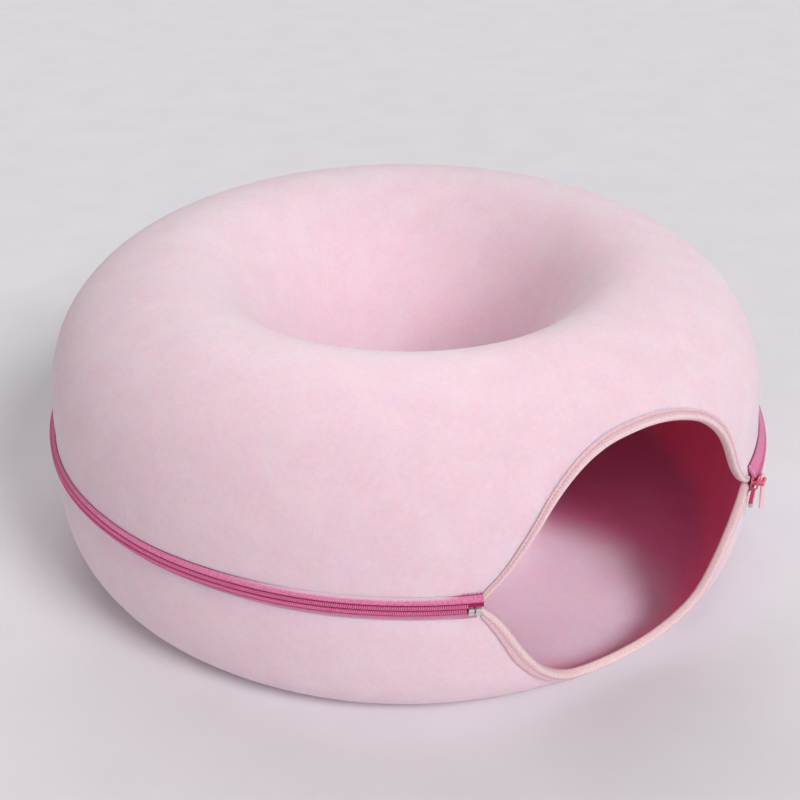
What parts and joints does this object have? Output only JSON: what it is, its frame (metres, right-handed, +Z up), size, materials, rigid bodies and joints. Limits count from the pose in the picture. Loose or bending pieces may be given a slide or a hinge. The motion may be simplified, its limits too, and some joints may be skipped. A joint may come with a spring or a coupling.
{
  "type": "round cat tunnel bed",
  "caption": "Hollow felt ring that a cat walks through, with a well in its middle, a bound leaf-shaped entrance and a coil zip round its widest line.",
  "frame": {"origin": "on the ring's axis, at the level of the floor it stands on, which is the centre of the bottom of its box", "axes": "+Z up along the ring's axis; -Y is the front that the picture looks at; +X is to the right, and the entrance lies between -Y and +X"},
  "size_m": [0.5106, 0.5103, 0.21],
  "materials": {
    "felt": "matt needle felt, pale pink",
    "zip_tape": "woven polyester tape, bright pink",
    "coil": "satin nylon coil, bright pink",
    "binding": "soft woven tape, salmon pink",
    "stop": "satin",
    "slider": "gloss pink paint",
    "tail": "woven polyester tape, deep pink"
  },
  "bodies": {
    "root": {"upper_shell": "felt", "lower_shell": "felt", "zip_tape_upper": "zip_tape", "zip_tape_lower": "zip_tape", "zip_coil": "coil", "binding_upper": "binding", "binding_lower": "binding", "zip_stop_inner": "stop", "zip_stop_outer": "stop", "zip_slider": "slider", "zip_pull": "slider", "zip_tail": "tail", "zip_tail_stop": "stop"}
  },
  "joints": []
}
